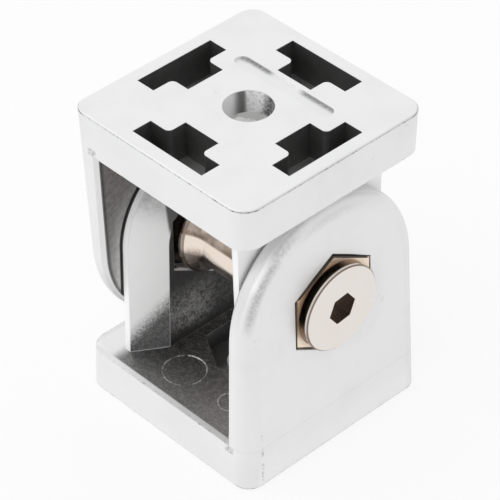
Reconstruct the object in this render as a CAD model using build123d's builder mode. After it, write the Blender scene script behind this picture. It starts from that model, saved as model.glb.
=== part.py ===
from build123d import *
from math import cos, radians, tan
import os

# A pivot joint for 40 mm aluminium profile: two identical die-cast halves, each a square plate
# with an outer and an inner ear, interlocked so that an outer ear lies over an inner ear at
# both ends of the pivot.  X is the pivot axis, Z runs from one mounting face to the other.
# All lengths are in millimetres and all angles in degrees.

os.makedirs("parts", exist_ok=True)

# ---- Cast half: plate ----
profile_width = 40.0  # side of the square profile that the plate covers
pivot_height = 29.0  # mounting face to pivot axis
plate_thickness = 8.0
draft = 1.5  # lean of the cast side walls towards the ears
plate_corner_radius = 3.6
face_rim = 0.25  # chamfer round the mounting face
floor_rim_width = 1.05  # sloping rim of the plate on the side of the ears
floor_rim_drop = 0.15
bolt_hole = 8.4  # clearance hole for the bolt that holds the plate to its profile
bolt_head_flats = 14.2  # recess that keeps the bolt's head from turning
bolt_head_depth = 3.7

# ---- Cast half: slot-shaped pockets in the mounting face ----
pocket_depth = 6.8
pocket_bar_outer = 17.44  # distances from the plate's centre
pocket_bar_inner = 13.59
pocket_stem_end = 9.96
pocket_bar_width = 15.9
pocket_stem_width = 7.6
pocket_shoulder_radius = 1.0

# ---- Cast half: shallow scoop beside the bolt hole ----
scoop_length = 21.6
scoop_wall = 9.0  # distance of its steep wall from the plate's centre
scoop_width = 2.7
scoop_depth = 0.4
dimple_diameter = 2.2
dimple_depth = 0.45
dimple_inset = 1.0  # of the dimple's centre from the scoop's end

# ---- Cast half: outer ear ----
outer_ear_thickness = 5.5  # at the mounting face, before the draft
ear_edge_radius = 3.0  # rounding that runs up one corner, over the tip and down the other
ear_inner_chamfer = 0.8
seat_flats = 17.0  # hexagonal recess across its flats
outer_web = 2.0  # metal left under the recess

# ---- Cast half: inner ear ----
ear_gap = 0.4  # between the two ears that lie side by side
inner_ear_thickness = 5.0
inner_ear_width = 32.6  # at the mounting face, before the draft
ear_rim_thickness = 1.3  # of the inner ear along its outline
flank_width = 5.8  # from the outline to the flat inner side
inner_web = 2.0
recess_chamfer = 0.4
rubbing_ring = 26.0  # raised ring on which the two ears rub and clamp

# ---- Cast half: marks of the ejector pins on the floor ----
large_pin_mark = 7.5
small_pin_mark = 4.4
pin_mark_depth = 0.12
large_pin_place = (-3.2, -12.6)
small_pin_place = (8.0, -12.4)

# ---- Pivot seats, one in each outer ear ----
spigot_diameter = 12.0  # the pivot pin proper, turning in the inner ear of the other half
running_clearance = 0.05  # on the radius
seat_side_clearance = 0.2
seat_dish = 15.6  # diameter of the dish round the screw head
seat_dish_floor = 9.4
spigot_end_gap = 0.2
seat_edge_chamfer = 0.25

# ---- Clamp screws ----
screw_diameter = 8.0
screw_hole = 8.4
head_diameter = 15.7
head_proud = 2.06  # of the head's face, from the seat's face
head_rim = 0.6
head_rim_chamfer = 0.25
head_cone_angle = 90.0
head_clearance = 0.06  # between the head's cone and its seat, along the pivot
socket_flats = 5.0
socket_depth = 3.2
socket_turn = 6.7  # of one socket corner, from the Y axis
screw_tip_gap = 2.6  # between the tips of the two screws

# ---- Thrust inserts and flared sleeve, between the inner ears ----
insert_plate = 1.2  # thickness of an insert's hexagonal plate
insert_boss = 13.0
sleeve_end_gap = 0.55  # from the sleeve's end to the inner ear's inner side
sleeve_diameter = 11.2
flare_diameter = 16.8
flare_rim = 0.65
flare_length = 2.1
thread_clearance = 0.02  # on the radius, between a screw and the sleeve

# ---- Places worked out from the sizes above ----
half_width = profile_width / 2
lean = tan(radians(draft))
outer_ear_side = half_width - outer_ear_thickness  # the outer ear's face towards the joint
inner_ear_outside = outer_ear_side - ear_gap
inner_ear_inside = inner_ear_outside - inner_ear_thickness
seat_face = half_width - pivot_height * lean  # flush with the ear's outer face, on the pivot
seat_floor = outer_ear_side + outer_web
insert_floor = inner_ear_outside - inner_web
head_radius = head_diameter / 2
cone_run = 1 / tan(radians(head_cone_angle / 2))  # along the pivot, for each unit of radius
head_front = seat_face + head_proud
cone_start = head_front - head_rim
shank_start = cone_start - (head_radius - screw_diameter / 2) * cone_run
dish_floor = cone_start - (head_radius - seat_dish_floor / 2) * cone_run - head_clearance
countersink_end = cone_start - (head_radius - screw_hole / 2) * cone_run - head_clearance
screw_tip = screw_tip_gap / 2
sleeve_end = inner_ear_inside - sleeve_end_gap
rim_start = sleeve_end - flare_rim
outer_wall = Plane(origin=(half_width, 0, 0), x_dir=(0, 1, 0), z_dir=(1, 0, lean))
free_wall = Plane(origin=(-half_width, 0, 0), z_dir=(-1, 0, lean))
pivot_axis = Axis((0, 0, pivot_height), (1, 0, 0))
half_turn = Location((0, 0, 2 * pivot_height), (0, 180, 0))  # lower half to upper half


def ear_outline(width, foot=0):
    """An ear seen along the pivot: drafted sides running tangent into a round tip.

    The width is taken at the mounting face, and the sides run on below it by the foot."""
    tip_radius = (width / 2 - pivot_height * lean) * cos(radians(draft))
    foot_reach = width / 2 + foot * lean
    with BuildSketch() as outline:
        with BuildLine():
            tip = CenterArc((0, pivot_height), tip_radius, draft, 180 - 2 * draft)
            Polyline(tip @ 0, (foot_reach, -foot), (-foot_reach, -foot), tip @ 1)
        make_face()
    return outline.sketch


def pivot_hexagon(flats):
    """A hexagon on the pivot, one corner up and one down."""
    with BuildSketch() as outline:
        with Locations((0, pivot_height)):
            RegularPolygon(flats / 2, 6, major_radius=False, rotation=30)
    return outline.sketch


# ================================ cast halves ================================

with BuildSketch() as pocket_outline:
    # A T whose bar lies along the plate's edge and whose stem points at the bolt hole.
    with BuildLine():
        half_t = Polyline(
            (0, pocket_stem_end),
            (pocket_stem_width / 2, pocket_stem_end),
            (pocket_stem_width / 2, pocket_bar_inner),
            (pocket_bar_width / 2, pocket_bar_inner),
            (pocket_bar_width / 2, pocket_bar_outer),
            (0, pocket_bar_outer),
        )
        mirror(half_t, about=Plane.YZ)
    make_face()
    shoulders = pocket_outline.vertices().group_by(Axis.Y)[1].sort_by(Axis.X)[1:3]
    fillet(shoulders, pocket_shoulder_radius)

with BuildPart() as lower_half:
    # Plate and outer ear, oversize, then cut by their leaning walls: the outline is seen along
    # the normal of the outer wall, so that the ear's tip is round about that normal.
    with BuildSketch():
        Rectangle(profile_width, 2 * profile_width)
    extrude(amount=plate_thickness)
    with BuildSketch(Plane.YZ.offset(outer_ear_side)):
        add(ear_outline(2 * profile_width))
    extrude(amount=outer_ear_thickness)
    with BuildSketch(outer_wall):
        add(ear_outline(profile_width, foot=plate_thickness))
    extrude(amount=-2 * profile_width, mode=Mode.INTERSECT)
    split(bisect_by=free_wall, keep=Keep.BOTTOM)

    # The plate's free corners are round, its floor has a sloping rim on the three free sides,
    # and the outer ear has a chamfer on its inner side.
    corners = lower_half.edges().filter_by(lambda e: abs(e.tangent_at(0.5).Z) > 0.9)
    fillet(corners.group_by(Axis.X)[0], plate_corner_radius)
    floor = lower_half.faces().filter_by(Axis.Z).sort_by(Axis.Z)[-1]
    floor_rim = floor.edges().sort_by(Axis.X)[:-1]
    chamfer(floor_rim, length=floor_rim_width, length2=floor_rim_drop, reference=floor)
    ear_side = lower_half.faces().filter_by(Axis.X).sort_by(Axis.Z)[-1]
    chamfer(ear_side.edges().sort_by(Axis.Z)[1:], ear_inner_chamfer)

    # One rounding runs up a corner of the plate, over the outer ear's tip and down again.
    outer_side = lower_half.faces().sort_by(Axis.X)[-1]
    fillet(outer_side.edges().sort_by(Axis.Z)[1:], ear_edge_radius)
    chamfer(lower_half.faces().sort_by(Axis.Z)[0].edges(), face_rim)

    # Inner ear: a thin rim that thickens along a broad flank to the flat inner side.
    with BuildSketch(Plane.YZ.offset(-inner_ear_outside)):
        add(ear_outline(inner_ear_width))
    extrude(amount=inner_ear_thickness)
    inner_side = lower_half.faces().filter_by(Axis.X).sort_by(Axis.X)[1]
    flank_depth = inner_ear_thickness - ear_rim_thickness
    flank_edges = inner_side.edges().sort_by(Axis.Z)[1:]
    chamfer(flank_edges, length=flank_width, length2=flank_depth, reference=inner_side)

    # Rubbing ring on the inner ear, facing the other half's outer ear.
    with BuildSketch(Plane.YZ.offset(-inner_ear_outside)):
        with Locations((0, pivot_height)):
            Circle(rubbing_ring / 2)
    extrude(amount=-ear_gap)

    # Hexagonal recesses: a seat goes into the outer ear, an insert into the inner ear.
    with BuildSketch(Plane.YZ.offset(seat_floor)):
        add(pivot_hexagon(seat_flats))
    extrude(amount=half_width, mode=Mode.SUBTRACT)
    with BuildSketch(Plane.YZ.offset(-insert_floor)):
        add(pivot_hexagon(seat_flats))
    extrude(amount=insert_floor - inner_ear_inside, mode=Mode.SUBTRACT)
    with BuildSketch(Plane.YZ.offset(-inner_ear_inside)):
        add(pivot_hexagon(seat_flats + 2 * recess_chamfer))
    extrude(amount=-recess_chamfer, taper=45, mode=Mode.SUBTRACT)

    # Pivot bores.
    with BuildSketch(Plane.YZ.offset(-half_width)):
        with Locations((0, pivot_height)):
            Circle(spigot_diameter / 2 + running_clearance)
    extrude(amount=profile_width, mode=Mode.SUBTRACT)

    # Bolt hole and the recess for the bolt's head.
    with BuildSketch():
        Circle(bolt_hole / 2)
    extrude(amount=plate_thickness, mode=Mode.SUBTRACT)
    with BuildSketch(Plane.XY.offset(plate_thickness - bolt_head_depth)):
        RegularPolygon(bolt_head_flats / 2, 6, major_radius=False, rotation=30)
    extrude(amount=bolt_head_depth, mode=Mode.SUBTRACT)

    # Pockets in the mounting face, one for each side of the profile.
    with BuildSketch():
        with PolarLocations(0, 4):
            add(pocket_outline.sketch)
    extrude(amount=pocket_depth, mode=Mode.SUBTRACT)

    # Scoop in the mounting face: its floor rises from a steep wall to nothing.
    scoop_floor = Plane(
        origin=(0, scoop_wall, scoop_depth), x_dir=(1, 0, 0), z_dir=(0, scoop_depth, -scoop_width)
    )
    with BuildSketch(scoop_floor):
        with Locations((0, scoop_width / 2)):
            SlotOverall(scoop_length, scoop_width)
    extrude(amount=2 * scoop_depth, mode=Mode.SUBTRACT)
    with BuildSketch():
        with Locations((scoop_length / 2 - dimple_inset, scoop_wall - scoop_width / 2)):
            Circle(dimple_diameter / 2)
    extrude(amount=dimple_depth, mode=Mode.SUBTRACT)

    # Round marks left on the floor by the ejector pins.
    with BuildSketch(Plane.XY.offset(plate_thickness)):
        with Locations(large_pin_place):
            Circle(large_pin_mark / 2)
        with Locations(small_pin_place):
            Circle(small_pin_mark / 2)
    extrude(amount=-pin_mark_depth, mode=Mode.SUBTRACT)

with BuildPart() as upper_half:
    with Locations(half_turn):
        add(lower_half.part)

# ================================ pivot seats ================================

with BuildPart() as right_pivot_seat:
    # Hexagonal plate in the outer ear's recess, with the pin that the other half turns on.
    with BuildSketch(Plane.YZ.offset(seat_floor)):
        add(pivot_hexagon(seat_flats - 2 * seat_side_clearance))
    extrude(amount=seat_face - seat_floor)
    chamfer(right_pivot_seat.faces().sort_by(Axis.X)[-1].edges(), seat_edge_chamfer)
    with BuildSketch(Plane.YZ.offset(insert_floor + spigot_end_gap)):
        with Locations((0, pivot_height)):
            Circle(spigot_diameter / 2)
    extrude(amount=seat_floor - insert_floor - spigot_end_gap)

    # Dish, countersink and screw hole, turned about the pivot.
    with BuildSketch(Plane.XZ):
        with BuildLine():
            Polyline(
                (insert_floor, pivot_height),
                (insert_floor, pivot_height + screw_hole / 2),
                (countersink_end, pivot_height + screw_hole / 2),
                (dish_floor, pivot_height + seat_dish_floor / 2),
                (seat_face, pivot_height + seat_dish / 2),
                (seat_face, pivot_height),
                close=True,
            )
        make_face()
    revolve(axis=pivot_axis, mode=Mode.SUBTRACT)

with BuildPart() as left_pivot_seat:
    with Locations(half_turn):
        add(right_pivot_seat.part)

# ================================ clamp screws ================================

with BuildPart() as right_clamp_screw:
    # Countersunk head and shank, turned about the pivot.
    with BuildSketch(Plane.XZ):
        with BuildLine():
            Polyline(
                (head_front, pivot_height),
                (head_front, pivot_height + head_radius - head_rim_chamfer),
                (head_front - head_rim_chamfer, pivot_height + head_radius),
                (cone_start, pivot_height + head_radius),
                (shank_start, pivot_height + screw_diameter / 2),
                (screw_tip, pivot_height + screw_diameter / 2),
                (screw_tip, pivot_height),
                close=True,
            )
        make_face()
    revolve(axis=pivot_axis)
    with BuildSketch(Plane.YZ.offset(head_front)):
        with Locations((0, pivot_height)):
            RegularPolygon(socket_flats / 2, 6, major_radius=False, rotation=socket_turn)
    extrude(amount=-socket_depth, mode=Mode.SUBTRACT)

with BuildPart() as left_clamp_screw:
    with Locations(half_turn):
        add(right_clamp_screw.part)

# ================================ between the inner ears ================================

with BuildPart() as right_thrust_insert:
    # Hexagonal plate on the floor of the inner ear's recess, with a boss for the sleeve to bear on.
    with BuildSketch(Plane.YZ.offset(insert_floor - insert_plate)):
        add(pivot_hexagon(seat_flats - 2 * seat_side_clearance))
    extrude(amount=insert_plate)
    with BuildSketch(Plane.YZ.offset(sleeve_end)):
        with Locations((0, pivot_height)):
            Circle(insert_boss / 2)
    extrude(amount=insert_floor - insert_plate - sleeve_end)
    with BuildSketch(Plane.YZ):
        with Locations((0, pivot_height)):
            Circle(screw_hole / 2)
    extrude(amount=half_width, mode=Mode.SUBTRACT)

with BuildPart() as left_thrust_insert:
    with Locations(half_turn):
        add(right_thrust_insert.part)

with BuildPart() as flared_sleeve:
    # A threaded tube that opens into a flared disc at each end.
    with BuildSketch(Plane.XZ):
        with BuildLine():
            Polyline(
                (0, pivot_height + screw_diameter / 2 + thread_clearance),
                (sleeve_end, pivot_height + screw_diameter / 2 + thread_clearance),
                (sleeve_end, pivot_height + flare_diameter / 2),
                (rim_start, pivot_height + flare_diameter / 2),
                (rim_start - flare_length, pivot_height + sleeve_diameter / 2),
                (0, pivot_height + sleeve_diameter / 2),
                close=True,
            )
        make_face()
        mirror(about=Plane.YZ)
    revolve(axis=pivot_axis)

# ================================ files ================================

pieces = {
    "lower_half": lower_half,
    "upper_half": upper_half,
    "right_pivot_seat": right_pivot_seat,
    "left_pivot_seat": left_pivot_seat,
    "right_clamp_screw": right_clamp_screw,
    "left_clamp_screw": left_clamp_screw,
    "right_thrust_insert": right_thrust_insert,
    "left_thrust_insert": left_thrust_insert,
    "flared_sleeve": flared_sleeve,
}
for name, piece in pieces.items():
    piece.part.label = name
    export_step(piece.part, f"parts/{name}.step")
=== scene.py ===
# %% [markdown]
# # A pivot joint for aluminium profile
# Two identical die castings are locked together by screws that run through the pivot.  The
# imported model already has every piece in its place, so this lesson is about finishes: how
# bright tumbled zinc, the darker skin inside a casting, and nickel plate are told apart.
# The model is loaded first and is never moved or changed.

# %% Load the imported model
import math
import bpy
import numpy as np
from mathutils import Matrix, Vector


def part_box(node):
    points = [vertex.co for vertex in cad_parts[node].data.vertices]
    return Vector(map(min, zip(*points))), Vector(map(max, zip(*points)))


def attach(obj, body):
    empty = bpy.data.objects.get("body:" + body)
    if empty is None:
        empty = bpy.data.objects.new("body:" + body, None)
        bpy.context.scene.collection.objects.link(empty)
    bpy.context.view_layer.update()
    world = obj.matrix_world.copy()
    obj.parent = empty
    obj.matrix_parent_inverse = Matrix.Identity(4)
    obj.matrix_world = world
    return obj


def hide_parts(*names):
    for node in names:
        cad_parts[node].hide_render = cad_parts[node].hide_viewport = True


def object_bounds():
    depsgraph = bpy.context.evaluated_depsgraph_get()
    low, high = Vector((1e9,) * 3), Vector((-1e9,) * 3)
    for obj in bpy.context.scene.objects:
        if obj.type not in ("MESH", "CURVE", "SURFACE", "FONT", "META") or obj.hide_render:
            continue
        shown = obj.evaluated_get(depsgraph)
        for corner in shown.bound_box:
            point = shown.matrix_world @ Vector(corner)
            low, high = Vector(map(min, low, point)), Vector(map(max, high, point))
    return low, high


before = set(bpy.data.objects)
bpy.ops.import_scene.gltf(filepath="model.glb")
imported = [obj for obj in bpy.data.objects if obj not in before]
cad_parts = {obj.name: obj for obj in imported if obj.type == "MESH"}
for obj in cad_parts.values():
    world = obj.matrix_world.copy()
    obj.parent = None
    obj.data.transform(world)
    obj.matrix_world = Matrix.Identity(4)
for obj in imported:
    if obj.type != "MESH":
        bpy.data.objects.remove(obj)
cad_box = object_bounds()
low_corner, high_corner = cad_box
joint_height = high_corner.z - low_corner.z
mm = 0.001
print("size in mm:", [round(side / mm, 2) for side in high_corner - low_corner])

# %% [markdown]
# ## The camera
# A product shot of a small part is taken from well back with a long lens, so that square
# edges stay nearly parallel.  The camera is placed by the direction it looks from, its
# distance and a slight roll, and aimed a hair beside the middle of the joint.

# %% Camera
view_azimuth = math.radians(47.11)
view_elevation = math.radians(39.41)
view_roll = math.radians(-0.94)
view_distance = 464.4 * mm
aim_right = -0.14 * mm
aim_up = -0.31 * mm
lens_length = 203.6

backward = Vector((
    math.sin(view_azimuth) * math.cos(view_elevation),
    -math.cos(view_azimuth) * math.cos(view_elevation),
    math.sin(view_elevation),
))
rightward = Vector((math.cos(view_azimuth), math.sin(view_azimuth), 0))
upward = backward.cross(rightward)
aim = Vector((0, 0, joint_height / 2)) + rightward * aim_right + upward * aim_up

camera_data = bpy.data.cameras.new("camera")
camera_data.sensor_width = 36
camera_data.lens = lens_length
camera_data.clip_start = 0.01
camera_data.clip_end = 20
camera = bpy.data.objects.new("camera", camera_data)
turned_right = rightward * math.cos(view_roll) + upward * math.sin(view_roll)
turned_up = upward * math.cos(view_roll) - rightward * math.sin(view_roll)
turn = Matrix((turned_right, turned_up, backward)).transposed().to_4x4()
camera.matrix_world = Matrix.Translation(aim + backward * view_distance) @ turn
bpy.context.scene.collection.objects.link(camera)
bpy.context.scene.camera = camera
print("camera distance in mm:", round((camera.location - aim).length / mm, 1))

# %% [markdown]
# ## Writing shaders as sums
# A finish is arithmetic on the place of a point: how far it is from an edge, which side of a
# wall it is on, how a noise pattern varies there.  Wiring nodes by hand hides that sum.  Here
# a small class wraps an output socket and overloads the operators, so that an expression
# adds its own Math nodes.


# %% Values
class Value:
    """An output socket: + - * / ** and abs() add Math nodes, with numbers on either side."""

    def __init__(self, finish, socket):
        self.finish = finish
        self.socket = socket

    def maths(self, operation, *terms):
        sockets = dict(enumerate(terms))
        return self.finish.node("ShaderNodeMath", {"operation": operation}, sockets)

    def __add__(self, other):
        return self.maths("ADD", self, other)

    def __radd__(self, other):
        return self.maths("ADD", other, self)

    def __sub__(self, other):
        return self.maths("SUBTRACT", self, other)

    def __rsub__(self, other):
        return self.maths("SUBTRACT", other, self)

    def __mul__(self, other):
        return self.maths("MULTIPLY", self, other)

    def __rmul__(self, other):
        return self.maths("MULTIPLY", other, self)

    def __truediv__(self, other):
        return self.maths("DIVIDE", self, other)

    def __pow__(self, other):
        return self.maths("POWER", self, other)

    def __abs__(self):
        return self.maths("ABSOLUTE", self)

    def least(self, other):
        return self.maths("MINIMUM", self, other)

    def most(self, other):
        return self.maths("MAXIMUM", self, other)

    def rise(self, start, end):
        """0 below start and 1 above end, with a smooth step between; swapped, it falls."""
        settings = {"interpolation_type": "SMOOTHSTEP"}
        low, high = min(start, end), max(start, end)
        step = self.finish.node("ShaderNodeMapRange", settings, {0: self, 1: low, 2: high})
        return step if start < end else 1 - step

    def within(self, low, high, soft):
        """1 between low and high, with edges that fade over the length soft."""
        return self.rise(low - soft, low) * self.rise(high + soft, high)


# %% [markdown]
# ## A material and its nodes
# A second class keeps one material's tree.  One method makes every node that isn't Math,
# and short ones built on it make the noises, colour mixes and bumps that all finishes use.


# %% Finishes
class Finish:
    """The node tree of one material, with the surface's shader ready to be fed."""

    def __init__(self, name):
        self.material = bpy.data.materials.new(name)
        self.material.use_nodes = True
        self.tree = self.material.node_tree
        self.surface = self.tree.nodes["Principled BSDF"]

    def node(self, kind, settings=None, sockets=None, result=0):
        """Adds one node: its settings first, then its sockets' values or links, by name or
        number."""
        made = self.tree.nodes.new(kind)
        for name, value in (settings or {}).items():
            setattr(made, name, value)
        self.feed(made, sockets or {})
        return Value(self, made.outputs[result])

    def feed(self, node, sockets):
        """Gives sockets of a node their values or links."""
        for name, value in sockets.items():
            if isinstance(value, Value):
                self.tree.links.new(value.socket, node.inputs[name])
            else:
                node.inputs[name].default_value = value

    def noise(self, place, per_mm, detail=2.0, roughness=0.5):
        """Noise from 0 to 1, with about per_mm features to the millimetre."""
        sockets = {"Vector": place, "Scale": per_mm, "Detail": detail, "Roughness": roughness}
        return self.node("ShaderNodeTexNoise", None, sockets, "Fac")

    def mix(self, share, first, second):
        """A colour between two colours: first where share is 0, second where it is 1."""
        settings = {"data_type": "RGBA"}
        return self.node("ShaderNodeMix", settings, {0: share, 6: first, 7: second}, 2)

    def bump(self, height, depth_mm, normal=None):
        """A surface raised by depth_mm where height is 1."""
        sockets = {"Height": height, "Strength": 1.0, "Distance": depth_mm * mm}
        if normal is not None:
            sockets["Normal"] = normal
        return self.node("ShaderNodeBump", None, sockets, "Normal")


# %% [markdown]
# ## Places in millimetres
# Object coordinates give a point's place on the piece, whatever the pose.  Both halves are
# the same casting, so a point of the upper one is turned back by half a turn about Y into
# the lower one's place, and every mask has to be written only once.


# %% Places in millimetres
def place_in_mm(finish, turned=False):
    """x, y, z in millimetres and the vector of the three."""
    place = finish.node("ShaderNodeTexCoord", result="Object")
    split = finish.node("ShaderNodeSeparateXYZ", None, {0: place}).socket.node
    x, y, z = (Value(finish, output) / mm for output in split.outputs)
    if turned:
        x = 0 - x
        z = joint_height / mm - z
    together = finish.node("ShaderNodeCombineXYZ", None, {0: x, 1: y, 2: z})
    return x, y, z, together


# %% [markdown]
# ## Zinc die casting
# Castings of this kind are often tumbled until they are bright and finely grained.  In
# pockets and between the ears the metal gets a darker, blotchy colour: painted shade for the
# shadow and the dark reflections in these hollows.  One material could be painted for each
# face, but then every border would need a cut in the mesh.  Here one material makes them all:
# its masks are worked out from the casting's own sizes, so each border lies exactly on an edge.

# %% The casting's sizes, in millimetres
half_side = high_corner.y / mm
pivot_height = joint_height / mm / 2
wall_lean = math.tan(math.radians(1.5))
plate_top = 8.0
rim_inside = 18.8
corner_centre = 16.4
bolt_radius = 4.2
bolt_recess_floor = 4.3
bolt_recess_reach = 8.4
inner_ear_rim, inner_ear_flat = -12.8, -9.1
outer_ear_flat = 14.5
recess_side = 8.5
print("half a plate:", round(half_side, 2), "mm, pivot at:", round(pivot_height, 2), "mm")

# %% The casting's colours
# The third colour is that of painted highlights, the fourth that of painted shade, the fifth the
# lighter end of the painted shade in hollows, and the last that of dark lines, smudges and the
# painted shade in gaps.
zinc = (0.868, 0.868, 0.872, 1)
worn_zinc = (0.79, 0.79, 0.795, 1)
highlight_zinc = (0.98, 0.98, 0.98, 1)
shade_black = (0.088, 0.086, 0.085, 1)
pale_shade = (0.92, 0.91, 0.905, 1)
mark_and_shade_black = (0.035, 0.033, 0.032, 1)

# %% [markdown]
# ## Where a point of the casting is
# Every region asks the same questions: how far is this point from the bolt hole, from the
# pivot, from the ear's outline, and how do the noises vary there?  They are answered once,
# and each region below is a small function of the answers.


# %% Distances and noises
def in_hexagon(y, z):
    """How far a point is from the pivot, in a hexagon with one corner up and one down."""
    across = abs(y)
    return across.most(across * 0.5 + abs(z - pivot_height) * math.cos(math.radians(30)))


def from_outline(y, z):
    """How far a point is inside the outer ear's outline: straight sides, then a round tip."""
    above = (z - pivot_height).most(0)
    side = half_side - z.least(pivot_height) * wall_lean
    return side - (y * y + above * above) ** 0.5


def gap_shade_side(y, z):
    """1 above and on the side of negative y, where the gap round the hexagonal pieces gets painted
    shade.
    """
    return (z - pivot_height).rise(4.6, 5.1).most(y.rise(-7.5, -8.2))


class CastPoint:
    """A point of the casting: its place, its distances and the noises there."""

    def __init__(self, finish, turned):
        self.finish = finish
        self.x, self.y, self.z, self.place = place_in_mm(finish, turned)
        self.from_bolt = (self.x * self.x + self.y * self.y) ** 0.5
        self.farther = abs(self.x).most(abs(self.y))
        self.nearer = abs(self.x).least(abs(self.y))
        self.hexagon = in_hexagon(self.y, self.z)
        self.inset = from_outline(self.y, self.z)
        self.grain = finish.noise(self.place, 5.5, 2.0, 0.6)
        self.speckle = finish.noise(self.place, 2.4, 3.0, 0.8)
        self.mottle = finish.noise(self.place, 0.9, 5.0, 0.8)
        self.sand = finish.noise(self.place, 2.0, 2.0, 0.9)
        self.broken = finish.noise(self.place, 0.7, 6.0, 0.9)
        self.blotches = finish.noise(self.place, 0.5, 5.0, 0.65)
        self.clouds = finish.noise(self.place, 0.12, 2.0, 0.5)


# %% [markdown]
# ## The dull places
# Each dull region gives a mask, 1 on its faces and 0 elsewhere, and a share of the paler colour
# in its painted shade.  First the four pockets in the mounting face.  They are T-shaped, so
# their mask is the union of a stem, a bar and the round shoulder between them.  Their walls
# get a painted shade that is nearly black, and their floors a lighter one.

# %% Pockets
pocket_floor = 6.8
pocket_end = 17.6
stem_end, stem_side = 9.96, 3.8
bar_start, bar_side = 13.59, 7.95
shoulder_radius = 1.05


def pocket_shade(at):
    """A T, by the larger and the smaller distance from the middle."""
    stem = at.farther.rise(stem_end - 0.1, stem_end - 0.02)
    stem = stem * at.nearer.rise(stem_side + 0.15, stem_side + 0.05)
    bar = at.farther.rise(bar_start - 0.15, bar_start - 0.05)
    bar = bar * at.nearer.rise(bar_side + 0.15, bar_side + 0.05)
    shoulder = at.farther.within(bar_start - shoulder_radius, bar_start, 0.05)
    shoulder = shoulder * at.nearer.within(stem_side, stem_side + shoulder_radius, 0.05)
    outer_wall = at.farther.rise(pocket_end + 0.1, pocket_end)
    deep = at.z.within(0.1, pocket_floor + 0.3, 0.06)
    on_pocket_floor = at.z.rise(pocket_floor - 0.25, pocket_floor - 0.05)
    # Painted shade: nearly black on the walls, lighter on the floors.
    light = 0.06 + at.blotches * 0.12 + on_pocket_floor * 0.28
    return deep * outer_wall * stem.most(bar).most(shoulder), light


print("a pocket is", round(pocket_end - stem_end, 2), "mm long")

# %% [markdown]
# ## The floor between the ears
# The floor's painted shade is speckled, darkest at the back and lighter towards the front and
# the outer ear, and it fades out in front of the inner ear.  Two round marks there look like
# those of the pins that push a casting out of its die.  Their edges get painted highlights:
# bright rings, broken by a noise so that they come and go.

# %% Floor between the ears
pin_marks = ((-3.2, -12.6, 3.75), (8.0, -12.4, 2.2))
before_inner_ear = (-15.2, -12.4)
towards_front = (-9.0, -18.5)
towards_outer_ear = (-8.0, 12.0)


def pin_rings(at):
    """Painted highlights: rings where the distance from a pin's middle is the pin's radius."""
    rings = None
    for pin_x, pin_y, radius in pin_marks:
        from_pin = ((at.x - pin_x) ** 2 + (at.y - pin_y) ** 2) ** 0.5
        ring = from_pin.within(radius - 0.08, radius + 0.1, 0.08)
        rings = ring if rings is None else rings.most(ring)
    whole = at.finish.noise(at.place, 0.40, 2.0, 0.6).rise(0.40, 0.58)
    return rings * (whole * 0.85 + 0.15) * at.speckle.rise(0.3, 0.55)


def floor_shade(at):
    """The level face at the plate's top, without the bolt recess and the sloping rim."""
    mask = at.z.within(plate_top - 0.2, plate_top + 0.02, 0.02) * at.x.rise(*before_inner_ear)
    outside_recess = at.from_bolt.rise(bolt_recess_reach - 0.1, bolt_recess_reach)
    mask = mask * outside_recess.most(at.z.rise(plate_top - 0.05, plate_top - 0.03))
    mask = mask * abs(at.y).rise(rim_inside + 0.1, rim_inside - 0.2)
    mask = mask * at.x.rise(outer_ear_flat + 0.2, outer_ear_flat + 0.1)
    # Painted shade, lighter towards the front and towards the outer ear.
    light = at.y.rise(*towards_front) * 0.14 + at.x.rise(*towards_outer_ear) * 0.16 - 0.02
    light = light + at.speckle.rise(0.42, 0.66) * 0.13 + at.mottle.rise(0.42, 0.64) * 0.10
    return mask, light.most(pin_rings(at))


print("pin marks:", len(pin_marks))

# %% [markdown]
# ## The ears' inner sides
# The flat side of the inner ear has the darkest painted shade, a little lighter low down, with
# a painted highlight along its foot.  The outer ear's painted shade gets lighter towards its tip.
# A thin dark line on it follows the outline that the other half's inner ear has at rest.  It is
# a painted shadow of the gap between the two, and it stays there when the joint turns.

# %% Inner sides of the ears
low_top, low_foot, low_side = (21.5, 14.0), (8.5, 12.0), (1.5, -4.0)
towards_tip = (16.0, 38.0)
back_side, back_top = (4.0, 9.0), (22.0, 14.0)
neighbour_outline = (15.45, 15.85)


def foot_highlight(at):
    """A thin broken painted highlight on the inner ear, just above the floor."""
    line = at.z.within(plate_top + 0.04, plate_top + 0.20, 0.04)
    line = line * at.x.rise(inner_ear_flat + 0.2, inner_ear_flat + 0.1)
    return line * at.x.rise(inner_ear_rim - 0.1, inner_ear_rim) * at.speckle.rise(0.2, 0.6)


def flat_side_shade(at, line):
    """Painted shade, mottled and speckled lighter, both stronger low down on the free side."""
    mask = at.x.within(inner_ear_flat - 0.04, inner_ear_flat + 0.1, 0.03)
    mask = mask * at.z.rise(plate_top, plate_top + 0.05)
    low = at.z.rise(*low_top) * at.z.rise(*low_foot) * (0.35 + at.y.rise(*low_side) * 0.75)
    light = 0.01 + at.mottle.rise(0.36, 0.62) * (0.03 + low * 0.34)
    light = light + at.speckle.rise(0.45, 0.65) * (0.015 + low * 0.32)
    return mask, light.most(line * 0.4)


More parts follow.
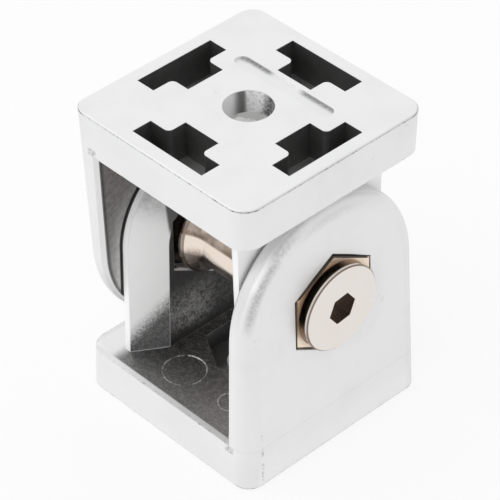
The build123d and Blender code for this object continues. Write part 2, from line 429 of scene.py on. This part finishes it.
def outer_ear_shade(at):
    """Painted shade with scratches on a slant, lighter towards the tip, darker at the edge, and
    the neighbour's outline as a painted shadow: a round tip below the pivot and straight sides
    above it."""
    mask = at.x.within(outer_ear_flat - 0.1, outer_ear_flat + 0.12, 0.05)
    mask = mask * at.z.rise(plate_top, plate_top + 0.05)
    slant = {0: at.x, 1: at.y * 0.25, 2: at.z * 3.0 + at.y * 1.5}
    scratches = at.finish.node("ShaderNodeCombineXYZ", None, slant)
    scratches = at.finish.noise(scratches, 1.3, 4.0, 0.7)
    light = 0.36 + at.z.rise(*towards_tip) * 0.50
    light = light + (at.mottle - 0.5) * 0.7 + (scratches - 0.5) * 0.5
    light = light * (0.25 + at.inset.rise(0.8, 1.6) * 0.75)
    light = light + at.y.rise(*back_side) * at.z.rise(*back_top) * 0.5
    above = (at.z - pivot_height).most(0)
    below = (pivot_height - at.z).most(0)
    from_neighbour = (at.y * at.y + below * below) ** 0.5 - above * wall_lean
    # The neighbour's outline is a painted shadow of the gap between the ears.
    return mask, light * (1 - from_neighbour.within(*neighbour_outline, 0.12) * 0.97)


print("the neighbour's line is", round(neighbour_outline[1] - neighbour_outline[0], 2), "mm wide")

# %% [markdown]
# ## The bolt head's recess, and all dull skin together
# The recess has painted shade on the side of the inner ear.  Then the five regions are
# joined: their masks by the largest, and their light as a sum, since no two of them overlap.

# %% Dull skin
shaded_side = (1.0, -3.0)


def bolt_recess_ring(at):
    """1 between the bolt hole and the corners of the hexagonal recess."""
    return at.from_bolt.within(bolt_radius + 0.2, bolt_recess_reach, 0.1)


def bolt_recess_shade(at):
    """Painted shade on the recess's walls towards the inner ear."""
    mask = at.z.within(bolt_recess_floor - 0.05, plate_top - 0.1, 0.05) * bolt_recess_ring(at)
    return mask * at.x.rise(*shaded_side), at.blotches * 0.1


def hollow_shade(at, line):
    """The mask of all dull regions and the colour of their painted shade."""
    inside, light = pocket_shade(at)
    light = inside * light
    others = (floor_shade(at), flat_side_shade(at, line), outer_ear_shade(at), bolt_recess_shade(at))
    for mask, share in others:
        inside = inside.most(mask)
        light = light + mask * share
    return inside, at.finish.mix(light, shade_black, pale_shade)


# %% [markdown]
# ## The bright outside
# The brightest places get painted highlights.  What remains on the bright faces is painted
# shade: a share of near-black that each region adds.  The broad flank of the inner ear has a
# painted shade that darkens towards the floor in speckles, is mottled where it tucks under the
# other half's plate, and is nearly black beside the pivot, behind an oblique border.  The last
# two are the shade of the rest position, painted as colour, so they too stay when the joint
# turns.

# %% Flank of the inner ear
flank_rise = 2.0
low_shade = (14.0, 8.2)
tucked_rise, tucked_start, tucked_end = 0.6, 32.5, 38.5
# oblique_x and oblique_y are the cosine and sine of the camera's azimuth, kept as fixed
# numbers in the casting's own axes.  What uses them is fitted to the main view.
oblique_x, oblique_y, oblique_z = 0.681, 0.733, 0.13
border_height, border = 31.8, (-13.5, -12.9)
above_border = (31.0, 33.0)


def flank_shade(at, line):
    """The flank's mask and its painted shade."""
    mask = at.x.within(inner_ear_rim - 0.05, inner_ear_flat - 0.1, 0.04)
    mask = mask * at.z.rise(plate_top, plate_top + 0.03)
    # Painted shade: darker towards the floor, mottled where it tucks under the other plate at rest,
    # and nearly black beside the pivot.
    low = (at.z - (at.x - inner_ear_rim) * flank_rise).rise(*low_shade)
    uneven = (at.mottle - 0.5) * 1.2 + (at.speckle - 0.5) * 0.6
    tucked = (at.z + (at.x - inner_ear_flat) * tucked_rise).rise(tucked_start, tucked_end)
    tucked = tucked * (0.50 + uneven)
    ragged = (at.speckle - 0.5) * (low * (1 - low) * 6.0 + low * 0.5)
    shade = mask * (low * 0.94 + tucked + ragged) * (1 - line * 0.6)
    from_middle = at.x * oblique_x - abs(at.y) * oblique_y
    from_middle = from_middle + (at.z - border_height) * oblique_z
    by_pivot = from_middle.rise(*border) * at.z.rise(*above_border)
    whole_flank = at.x.within(inner_ear_rim, inner_ear_flat - 0.02, 0.04)
    return mask, shade.most(whole_flank * by_pivot * 0.97)


def ear_line(at):
    """A faint line along the inner ear's thin rim."""
    line = at.x.within(inner_ear_rim - 0.16, inner_ear_rim - 0.02, 0.05)
    return line * at.z.rise(plate_top, plate_top + 0.1) * 0.12


# %% [markdown]
# ## The rounding over the outer ear
# The rounding is a little greyer than the flat faces, in soft bands with a fine grain: one
# down its shoulder, one along the tip's edge and one over the tip, with a brighter one beside
# them.  The grey bands are painted dark reflections and painted shade, the bright one a
# painted highlight.  The shoulder's band and the bright one are painted on the side of
# negative y only.

# %% Rounding over the outer ear
rounding_start = (16.6, 17.4)
free_side = (-2.0, -8.0)
shoulder_x, shoulder_foot = (18.1, 18.8), 36.0
tip_start, tip_end = 43.5, 48.0
bright_x, bright_foot = (16.9, 17.6), 40.0
side_end, side_heights = 16.8, (30.0, 42.0)


def rounding_bands(at):
    """The painted dark bands and the painted highlight, by x across the rounding and the inset
    round it.
    """
    on_rounding = at.x.rise(*rounding_start) * at.inset.rise(3.4, 2.6)
    free = at.y.rise(*free_side)
    coarse = at.sand - 0.5
    shoulder_band = at.x.within(*shoulder_x, 0.9) * at.inset.rise(2.0, 0.9)
    shoulder_band = shoulder_band * at.z.within(shoulder_foot, tip_start, 5.0) * free
    shoulder_band = shoulder_band * (0.33 + coarse * 0.9)
    tip_edge = at.inset.rise(1.0, 0.1) * at.z.rise(tip_start - 1.5, tip_start + 1.0)
    tip_edge = tip_edge * (0.22 + free * 0.20 + coarse * 0.5)
    tip_band = at.inset.within(1.9, 2.7, 0.7) * at.z.rise(tip_start + 0.5, tip_end - 0.5)
    tip_band = tip_band * (0.16 + coarse * 0.4)
    grey = on_rounding * (shoulder_band + tip_edge + tip_band + 0.02)
    bright = at.x.within(*bright_x, 0.4) * at.inset.rise(0.9, 0.5)
    bright = bright * at.z.within(bright_foot, tip_start, 1.5)
    over_tip = at.inset.within(0.9, 1.5, 0.5) * at.z.within(tip_start, tip_end, 1.0)
    return grey, bright.most(over_tip * on_rounding) * free


def ear_side_shade(at):
    """Painted shade, a light grey along the ear's narrow side, above the pivot."""
    side = at.x.within(outer_ear_flat + 0.3, side_end, 0.3) * at.inset.rise(0.9, 0.3)
    return side * at.z.rise(*side_heights) * 0.22


# %% [markdown]
# ## The scoop and the bolt hole
# The shallow scoop has painted shade at its steep wall, in a soft band with a ragged edge.
# The bolt hole has a painted highlight on its wall, with a narrow and a broad painted dark
# reflection down it, laid as fixed colour.  The direction across the hole in which they are
# laid is, on the upper half, the camera's sideways one, so they suit the main view and are a
# guess for the others.  A noise stretched along the hole makes them run.

# %% Scoop and bolt hole
scoop_wall, scoop_end, scoop_width = 9.0, 10.8, 2.7
scoop_middle = 0.6
narrow_reflection, narrow_end = (-0.66, -0.30), (-0.02, -0.20)
broad_reflection = (0.40, 0.80)
hole_grain = (-0.30, 0.1)


def scoop_shade(at):
    """Dark within a millimetre of the steep wall, except in the scoop's middle."""
    in_scoop = at.z.within(0.03, 0.6, 0.02) * abs(at.x).rise(scoop_end + 0.1, scoop_end)
    in_scoop = in_scoop * at.y.within(scoop_wall - scoop_width, scoop_wall + 0.05, 0.03)
    beside_middle = abs(at.x - scoop_middle).rise(2.6, 4.4)
    by_wall = at.y.rise(scoop_wall - 1.2, scoop_wall - 0.1) * (0.60 + (at.sand - 0.5) * 1.1)
    return in_scoop * (by_wall * (0.05 + beside_middle * 0.95)) * 0.9


def bolt_hole_shade(at):
    """The hole's mask and its shade; the way across it runs from -1 to 1."""
    mask = at.from_bolt.rise(bolt_radius + 0.15, bolt_radius + 0.05) * at.z.rise(0.05, 0.15)
    upright = at.finish.node("ShaderNodeCombineXYZ", None, {0: at.x, 1: at.y, 2: at.z * 0.12})
    upright = at.finish.noise(upright, 0.75, 4.0, 0.7)
    across = (at.y * oblique_y - at.x * oblique_x) / bolt_radius + (upright - 0.5) * 0.15
    # The narrow and the broad dark places are painted dark reflections.
    narrow = across.rise(*narrow_reflection) * across.rise(*narrow_end) * 0.86
    broad = (across + (at.z - 2.0) * 0.05).rise(*broad_reflection) * 0.82
    coarse = (at.sand - 0.47) * 1.9 * across.rise(*hole_grain)
    return mask, mask * (narrow.most(broad) + coarse)


# %% [markdown]
# ## Edges and dark lines
# Broken dark lines run round the mounting face and along the plate's other edge, and there are
# a few smudges.  The plate's outline is a square with round corners: the distance from a
# smaller square, whose corners are the corner arcs' middles.

# %% Edges and dark lines
marked_corner = (-16.75, -16.35)
marked_foot = (14.6, 16.2)


def plate_walls(at):
    """1 on the plate's side walls, and how near a corner a point is."""
    past_corner = (at.farther - corner_centre).most(0)
    past_side = (at.nearer - corner_centre).most(0)
    outline = (past_corner * past_corner + past_side * past_side) ** 0.5 + corner_centre
    return outline.rise(half_side - 0.75, half_side - 0.35), past_side.rise(-0.5, 1.0)


def dark_edge_lines(at, walls, by_corner):
    """The broken dark lines along the plate's two edges and down one rounded corner."""
    face_edge = at.z.within(0.20, 0.32, 0.05) * walls
    corners = by_corner * at.broken.rise(0.36, 0.5) * 0.4
    face_edge = face_edge * (at.broken.rise(0.50, 0.62) * 0.65 + 0.14 + corners)
    plate_edge = at.z.within(plate_top - 0.28, plate_top - 0.12, 0.05) * walls
    plate_edge = plate_edge * at.broken.rise(0.52, 0.64) * 0.55
    plate_edge = plate_edge * at.x.rise(outer_ear_flat + 0.1, outer_ear_flat - 0.3)
    down_corner = at.x.rise(half_side - 0.4, half_side - 0.15)
    down_corner = down_corner * at.y.within(*marked_corner, 0.12)
    down_corner = down_corner * at.z.within(1.5, 15.0, 1.0) * at.broken.rise(0.50, 0.62) * 0.45
    return face_edge.most(plate_edge).most(down_corner)


def smudges(at):
    """A few speckled smudges, one of them at the outer ear's foot."""
    anywhere = at.finish.noise(at.place, 0.22, 5.0, 0.7).rise(0.66, 0.74)
    anywhere = anywhere * at.speckle.rise(0.35, 0.7) * 0.5
    foot = at.x.within(*marked_foot, 0.3) * at.z.within(plate_top - 1.4, plate_top - 0.4, 0.3)
    foot = foot * at.y.rise(-17.0, -18.5)
    return anywhere.most(foot * at.speckle.rise(0.35, 0.6) * 0.45)


# %% [markdown]
# ## Gaps, bevels and painted highlights
# The gap round the hexagonal pieces gets a painted shade, black above and on the side of
# negative y, although the solids are centred.  The narrow bevels and rims only need a faint
# painted shade to be seen.  The painted highlights are a mask of their own, because they
# change the metallic share as well as the colour.

# %% Gaps, bevels and painted highlights
hexagon_gap = 0.1
insert_back = -12.3
ear_rim_face = -14.2


def recess_gap_shade(at):
    """Painted shade, black in the recesses' gaps round the seats and inserts."""
    outside = at.hexagon.rise(recess_side + 2 * hexagon_gap, recess_side + hexagon_gap)
    by_seat = at.x.within(outer_ear_flat + 1.8, half_side - 0.95, 0.06)
    by_insert = at.x.within(insert_back, inner_ear_flat - 0.35, 0.06)
    return outside * (by_seat + by_insert) * gap_shade_side(at.y, at.z)


def face_chamfer(at, walls):
    """A faint painted shade on the narrow bevel round the mounting face."""
    return at.z.rise(0.27, 0.22) * at.z.rise(0.01, 0.06) * walls * 0.16


def rim_shade(at):
    """A faint uneven line along the outside of the floor's rim."""
    rim = at.z.within(plate_top - 0.17, plate_top - 0.005, 0.01)
    return rim * at.farther.rise(rim_inside - 0.1, rim_inside) * (at.broken * 0.22 - 0.03)


def painted_highlights(at, flank, highlight_band, in_hole):
    """Painted highlights: the brightest places of the outside, and the bolt recess's far wall."""
    ear_rim = at.x.within(ear_rim_face, inner_ear_rim - 0.15, 0.05)
    ear_rim = ear_rim * at.z.rise(plate_top, plate_top + 0.1)
    far_wall = at.z.within(bolt_recess_floor - 0.05, plate_top, 0.05) * (at.x + at.y).rise(2.0, 4.0)
    far_wall = far_wall * bolt_recess_ring(at)
    ear_face = at.x.rise(half_side - 0.2, half_side - 0.02)
    # Painted highlights on the ear's rim, the rounding's bright band, the bolt hole, the bolt
    # recess's far wall, the outer faces at the plate's end and the flank.
    painted_light = ear_rim.most(highlight_band * 0.9).most(in_hole * 0.9)
    return painted_light.most(far_wall * 0.9).most(ear_face * 0.5).most(flank)


# %% [markdown]
# ## The casting's material
# Now the layers are laid over each other: bright zinc with worn clouds, the painted highlights,
# the painted shade, the painted shade of the hollows, and on top the dark lines, smudges and
# painted shade of the gaps.  These last and the painted highlights also lower the metallic
# share, and two bumps give the tumbled grain and a slight unevenness.


# %% Casting finish
def casting_finish(name, turned):
    """Bright tumbled zinc outside with painted highlights and shade, painted shade in the hollows,
    dark lines along the edges and painted shade in the gaps.
    """
    finish = Finish(name)
    at = CastPoint(finish, turned)
    # The thin bright line at the inner ear's foot is a painted highlight.
    line = foot_highlight(at)
    walls, by_corner = plate_walls(at)
    flank, flank_dark = flank_shade(at, line)
    reflection_bands, highlight_band = rounding_bands(at)
    in_hole, hole_dark = bolt_hole_shade(at)
    inside, hollow_shade_colour = hollow_shade(at, line)
    painted_light = painted_highlights(at, flank, highlight_band, in_hole)
    # On top: dark lines, smudges, and the painted shade in the gaps round the hexagonal pieces.
    marks_and_gap_shade = dark_edge_lines(at, walls, by_corner).most(smudges(at)).most(recess_gap_shade(at))
    shade = flank_dark.most(reflection_bands).most(scoop_shade(at)).most(hole_dark)
    shade = shade.most(ear_line(at)).most(face_chamfer(at, walls))
    shade = shade.most(ear_side_shade(at)).most(rim_shade(at))
    worn = at.clouds.rise(0.4, 0.7) * 0.35 + (at.grain - 0.5) * 0.25
    colour = finish.mix(worn, zinc, worn_zinc)
    # Painted highlights first, then painted shade, then the painted shade of the hollows.
    colour = finish.mix(painted_light, colour, highlight_zinc)
    colour = finish.mix(shade, colour, shade_black)
    colour = finish.mix(inside, colour, hollow_shade_colour)
    colour = finish.mix(marks_and_gap_shade, colour, mark_and_shade_black)
    relief = finish.bump(at.grain, 0.018)
    relief = finish.bump(at.blotches, 0.05, relief)
    finish.feed(finish.surface, {
        "Base Color": colour,
        "Metallic": 0.5 + inside * 0.4 - marks_and_gap_shade * 0.4 - painted_light * 0.45,
        "Roughness": 0.38 + at.grain * 0.10 + inside * 0.06 + marks_and_gap_shade * 0.2,
        "Normal": relief,
    })
    print(name, "has", len(finish.tree.nodes), "nodes")
    return finish.material


# %% [markdown]
# ## Nickel plate
# The screws, seats, inserts and sleeve are turned or pressed steel with a nickel plate that
# is a little warm in colour.  It is much smoother than the castings, so it mirrors the dark
# hollow and the bright room in hard streaks.  Turned faces keep faint rings about the pivot.
# Sockets, dishes and corners are given a brown colour, partly the plate's own tone there and
# partly a painted reflection of the dark hollow, and the darkest places a painted black shade.

# %% Nickel plate
nickel = (0.82, 0.775, 0.74, 1)
warm_nickel = (0.86, 0.72, 0.59, 1)
# The brown is partly the plate's own tone and partly a painted dark reflection; the black is the
# colour of painted shade.
brown_tone_and_reflection = (0.16, 0.105, 0.075, 1)
nickel_shade_black = (0.018, 0.014, 0.012, 1)


class NickelPart:
    """The places, noises and shader of one nickel-plated piece."""

    def __init__(self, name):
        self.finish = Finish(name)
        self.x, self.y, self.z, self.place = place_in_mm(self.finish)
        self.across = abs(self.x)
        self.radius = ((self.z - pivot_height) ** 2 + self.y * self.y) ** 0.5
        self.cloud = self.finish.noise(self.place, 0.35, 3.0, 0.5)
        self.fine = self.finish.noise(self.place, 6.0, 2.0, 0.5)

    def material(self, gloss, warmth, ring_depth, brown=0.0, black=0.0):
        """gloss is the roughness, warmth the share of the yellower colour; brown is the mask of the
        plate's brown tone and of painted dark reflections, black the mask of painted shade."""
        finish = self.finish
        rings = finish.node("ShaderNodeCombineXYZ", None, {0: self.radius, 1: self.x, 2: 0.0})
        turning = finish.noise(rings, 9.0, 3.0, 0.6)
        colour = finish.mix((self.cloud - 0.5) * 0.5 + warmth, nickel, warm_nickel)
        colour = finish.mix(brown, colour, brown_tone_and_reflection)
        colour = finish.mix(black, colour, nickel_shade_black)
        relief = finish.bump(turning, ring_depth)
        relief = finish.bump(self.fine, 0.002, relief)
        finish.feed(finish.surface, {
            "Base Color": colour,
            "Metallic": 1.0,
            "Roughness": self.cloud * 0.06 + turning * 0.04 + gloss,
            "Normal": relief,
        })
        return finish.material


# %% [markdown]
# ## Screws and seats
# The screw's socket gets a painted shade, brown and dark, with a bright mouth, and its head has
# a thin dark line round its edge.  The seat has painted dark reflections in the dish under the
# head and painted shade in the corner between its plate and the casting, above and on the side
# of negative y.

# %% Screw and seat finishes
head_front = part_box("right_clamp_screw")[1].x / mm
socket_reach = 3.0
shank_radius = 3.95
edge_start = 7.55
seat_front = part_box("right_pivot_seat")[1].x / mm
seat_side = 8.3


def screw_finish():
    """A bright head with painted shade in its socket and under it, and a dark line round its edge.
    """
    part = NickelPart("nickel_screw")
    socket = part.across.rise(head_front - 0.06, head_front - 0.2)
    socket = socket * part.radius.rise(socket_reach, socket_reach - 0.05)
    deep = part.across.rise(head_front - 0.3, head_front - 2.4)
    edge = part.across.within(head_front - 0.24, head_front - 0.05, 0.03)
    edge = edge * part.radius.rise(edge_start, edge_start + 0.07)
    under_head = part.across.rise(head_front - 0.62, head_front - 1.1)
    under_head = under_head * part.radius.rise(shank_radius - 0.05, shank_radius)
    # Painted shade in the socket, deeper down and under the head; the edge line is a dark line.
    brown = (socket * (0.45 + part.cloud * 0.3)).most(edge * 0.85).most(under_head * 0.2)
    black = socket * deep * 0.2
    return part.material(gloss=0.20, warmth=0.08, ring_depth=0.003, brown=brown, black=black)


def seat_finish():
    """A creamy plate, brown towards the dish, partly its tone and partly a painted reflection, and
    painted black shade in its corner with the casting.
    """
    part = NickelPart("nickel_seat")
    hexagon = in_hexagon(part.y, part.z)
    # Painted shade in the gap round the seat, above and on the side of negative y.
    corner = hexagon.rise(seat_side - 0.3, seat_side - 0.23) * gap_shade_side(part.y, part.z) * 0.95
    # Brown in and towards the dish: partly the plate's tone, partly a painted dark reflection.
    dish = part.across.rise(seat_front - 0.05, seat_front - 0.5)
    dish = dish * part.radius.rise(seat_side, seat_side - 0.4)
    towards_dish = part.radius.rise(seat_side + 0.5, seat_side - 0.4) * 0.22
    brown = (dish * 0.25).most(towards_dish + (part.cloud - 0.5) * 0.3)
    return part.material(gloss=0.15, warmth=1.05, ring_depth=0.002, brown=brown, black=corner)


# %% [markdown]
# ## Inserts and sleeve
# The inserts lie deep in their recesses, so they get painted shade, brown and dark all over.
# The sleeve is seen from end to end between the ears.  It is brown along its top, in streaks
# where the flares begin below, and in a thin line round each end.  All three are painted dark
# reflections; the brown along the top stands for the dark plate above that it mirrors at rest.

# %% Insert and sleeve finishes
throat_start, throat_end = 5.4, 7.0
rim_start = 7.62
top_start = 0.30


def insert_finish():
    """The seat's plainer sibling, deep in its recess and with painted shade all over."""
    part = NickelPart("nickel_insert")
    # Painted shade all over.
    brown = part.cloud * 0.3 + 0.55
    return part.material(gloss=0.22, warmth=0.4, ring_depth=0.002, brown=brown, black=0.75)


def sleeve_finish():
    """Smooth, with painted dark reflections along its top, where the flares begin below and round
    each end.
    """
    part = NickelPart("nickel_sleeve")
    height = (part.z - pivot_height) / part.radius
    # Painted dark reflections: along the top, in the throats below and round each end.
    reflection_patches = part.finish.noise(part.place, 0.3, 3.0, 0.6).rise(0.42, 0.62)
    top = height.rise(top_start, top_start + 0.07)
    top = top * (0.55 + reflection_patches * 0.2 + height.rise(0.48, 0.38) * 0.2)
    throat = part.across.within(throat_start, throat_end, 0.8) * (0.3 + reflection_patches * 0.7)
    throat = throat * height.rise(0.12, -0.12) * 0.72
    rim = part.across.within(rim_start, rim_start + 0.23, 0.06) * 0.75
    brown = top.most(throat).most(rim)
    return part.material(gloss=0.11, warmth=0.60, ring_depth=0.002, brown=brown)


# %% [markdown]
# ## The flared sleeve
# The sleeve is a tube whose ends open like small trumpets.  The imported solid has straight
# cones there, and a skin with a true curve stands for it.  The skin is one profile carried
# round the pivot: the radius grows with a power of the way along the flare, and the profile
# closes over the thin rim, the end face and the bore, so the skin has no open edge.

# %% Sleeve profile
sleeve_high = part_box("flared_sleeve")[1]
sleeve_end = sleeve_high.x / mm
tube_radius = 6.4
flare_radius = sleeve_high.y / mm
bore_radius = 4.02
rim_thickness = 0.65
rim_bevel = 0.12
flare_start = 4.4
flare_power = 2.6
steps_along = 97


def trumpet_radius(along):
    """The tube's radius, plus the flare's height times a power of the way along the flare."""
    way = (abs(along) - flare_start) / (sleeve_end - rim_thickness - flare_start)
    return tube_radius + (flare_radius - tube_radius) * np.clip(way, 0, 1) ** flare_power


def closed_profile():
    """Places along the pivot and radii, once round the wall of the sleeve."""
    along = np.linspace(rim_thickness - sleeve_end, sleeve_end - rim_thickness, steps_along)
    outside = np.column_stack((along, trumpet_radius(along)))
    right_end = np.array([
        (sleeve_end - rim_bevel, flare_radius),
        (sleeve_end, flare_radius - rim_bevel),
        (sleeve_end, bore_radius),
    ])
    left_end = right_end[::-1] * (-1, 1)
    return np.vstack((outside, right_end, left_end))


# %% [markdown]
# ## Turning the profile
# The points of one profile, times the directions round the pivot, are the whole grid of the
# skin.  Its quads join each row and column with the next, and the last with the first.  The
# corners of a quad are taken in the order that makes its face point outwards.

# %% Turned skin
steps_round = 128
sharp_angle = math.radians(40)


def turned_skin(name, profile):
    """A mesh of the profile's points turned about the pivot: y is the radius times the sine
    of the angle, z the pivot's height plus the radius times its cosine."""
    angles = np.linspace(0, 2 * math.pi, steps_round, endpoint=False)
    along, radii = profile[:, :1], profile[:, 1:]
    points = np.stack((
        np.broadcast_to(along, (len(profile), steps_round)),
        radii * np.sin(angles),
        pivot_height + radii * np.cos(angles),
    ), axis=-1)
    rows = np.arange(len(profile))[:, None] * steps_round
    next_rows = np.roll(rows, -1, axis=0)
    columns = np.arange(steps_round)[None, :]
    next_columns = np.roll(columns, -1, axis=1)
    quads = np.stack((
        rows + columns, next_rows + columns, next_rows + next_columns, rows + next_columns,
    ), axis=-1)
    mesh = bpy.data.meshes.new(name)
    mesh.from_pydata((points.reshape(-1, 3) * mm).tolist(), [], quads.reshape(-1, 4).tolist())
    mesh.shade_smooth()
    mesh.set_sharp_from_angle(angle=sharp_angle)
    return mesh


# %% Sleeve skin
sleeve_skin = bpy.data.objects.new("sleeve_skin", turned_skin("sleeve_skin", closed_profile()))
bpy.context.scene.collection.objects.link(sleeve_skin)
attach(sleeve_skin, "lower")
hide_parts("flared_sleeve")
sleeve_skin.data.materials.append(sleeve_finish())
print("sleeve skin:", len(sleeve_skin.data.polygons), "faces")

# %% [markdown]
# ## Giving each piece its finish
# The pieces keep their own meshes.  A finish goes into the piece's first material slot.  The
# two halves need one finish each, because the upper one is turned over, and the pairs of
# small pieces share theirs.

# %% Assign the finishes
finishes = {
    "lower_half": casting_finish("zinc_lower", False),
    "upper_half": casting_finish("zinc_upper", True),
    "right_pivot_seat": seat_finish(),
    "right_clamp_screw": screw_finish(),
    "right_thrust_insert": insert_finish(),
}
finishes["left_pivot_seat"] = finishes["right_pivot_seat"]
finishes["left_clamp_screw"] = finishes["right_clamp_screw"]
finishes["left_thrust_insert"] = finishes["right_thrust_insert"]
for node, material in finishes.items():
    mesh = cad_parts[node].data
    mesh.materials.clear()
    mesh.materials.append(material)
print("finished pieces:", sorted(finishes))

# %% [markdown]
# ## Floor and light
# The joint stands on a white sheet in a light tent.  The world is the tent, an even light a
# little under full strength.  The sheet is shaded by the tent as any surface is, and to the
# camera and in mirrors it is mostly an even white, with a share of the real shading left so
# that the joint keeps its shadow.

# %% Floor
floor_reach = 3.0
floor_gap = 0.02 * mm
white_share = 0.82
sheet_white = (0.86, 0.86, 0.86, 1)
floor_mesh = bpy.data.meshes.new("floor")
corners = np.array([(-1, -1, 0), (1, -1, 0), (1, 1, 0), (-1, 1, 0)]) * floor_reach
corners[:, 2] = low_corner.z - floor_gap
floor_mesh.from_pydata(corners.tolist(), [], [(0, 1, 2, 3)])
floor = bpy.data.objects.new("floor", floor_mesh)
bpy.context.scene.collection.objects.link(floor)

sheet = Finish("floor_sheet")
sheet.feed(sheet.surface, {"Base Color": sheet_white, "Roughness": 0.9})
rays = sheet.node("ShaderNodeLightPath").socket.node
seen = Value(sheet, rays.outputs["Is Camera Ray"])
for kind in ("Is Glossy Ray", "Is Transmission Ray"):
    seen = seen.most(Value(sheet, rays.outputs[kind]))
white = sheet.node("ShaderNodeEmission", None, {"Color": (1, 1, 1, 1), "Strength": 1.0})
shown = sheet.node("ShaderNodeMixShader", None, {
    0: seen * white_share,
    1: Value(sheet, sheet.surface.outputs[0]),
    2: white,
})
sheet.feed(sheet.tree.nodes["Material Output"], {"Surface": shown})
floor_mesh.materials.append(sheet.material)
print("the sheet is", 2 * floor_reach, "m wide")

# %% World
tent_strength = 0.88
world = bpy.data.worlds.new("tent")
bpy.context.scene.world = world
world.use_nodes = True
background = world.node_tree.nodes["Background"]
background.inputs["Color"].default_value = (1, 1, 1, 1)
background.inputs["Strength"].default_value = tent_strength

# %% [markdown]
# ## One lamp
# The tent alone would leave the joint flat.  One large, weak panel from the open side makes
# the upward faces a little brighter than the upright ones, with soft edges.


# %% Lamp
def soft_lamp(name, place_mm, size_mm, strength):
    """A square panel at place_mm that faces the joint."""
    lamp_data = bpy.data.lights.new(name, "AREA")
    lamp_data.shape = "SQUARE"
    lamp_data.size = size_mm * mm
    lamp_data.energy = strength
    lamp = bpy.data.objects.new(name, lamp_data)
    lamp.location = Vector(place_mm) * mm
    lamp.rotation_mode = "QUATERNION"
    lamp.rotation_quaternion = lamp.location.to_track_quat("Z", "Y")
    bpy.context.scene.collection.objects.link(lamp)
    return lamp


panel = soft_lamp("key_panel", (-350, -500, 700), 1300, 3.0)
print("the panel is", round(panel.location.length / mm), "mm away")

# %% [markdown]
# ## Picture settings and the end
# The Standard view shows a colour as it is written.

# %% Picture settings
bpy.context.scene.view_settings.view_transform = "Standard"
